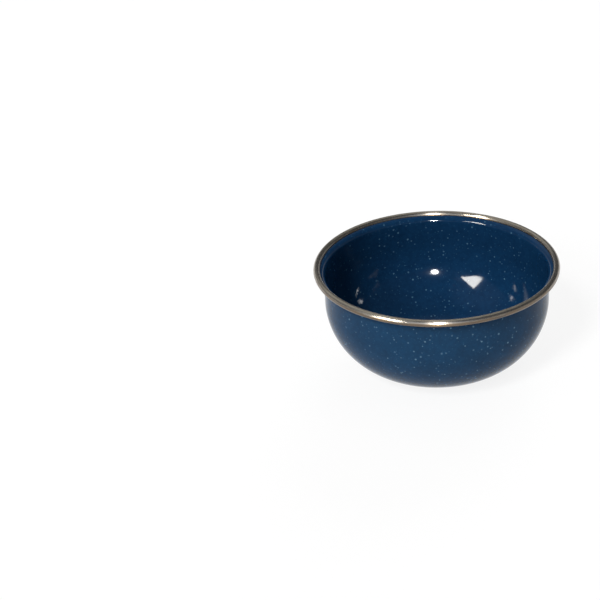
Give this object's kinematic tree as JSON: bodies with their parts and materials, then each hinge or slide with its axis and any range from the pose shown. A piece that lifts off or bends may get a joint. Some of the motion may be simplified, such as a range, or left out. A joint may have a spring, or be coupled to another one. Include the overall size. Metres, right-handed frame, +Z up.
{
  "type": "enamel bowl",
  "caption": "Round enamelled steel bowl with a rounded side, a turned-out lip held in a stainless rim band and a flat foot, for food or washing.",
  "frame": {"origin": "on the table under the middle of the foot", "axes": "+Z up along the bowl's axis; X and Y are free, because the bowl is round"},
  "size_m": [0.16, 0.16, 0.072],
  "materials": {
    "pressed_steel": "pickled sheet steel, hidden under the coats",
    "ground_enamel": "dark blue-black ground enamel, hidden under the cover coats",
    "inside_enamel": "glossy deep blue enamel with fine white flecks",
    "outside_enamel": "glossy deep blue enamel with fine white flecks",
    "stainless": "polished stainless steel"
  },
  "bodies": {
    "root": {"steel_shell": "pressed_steel", "ground_coat": "ground_enamel", "inner_enamel": "inside_enamel", "outer_enamel": "outside_enamel", "rim_band": "stainless"}
  },
  "joints": []
}
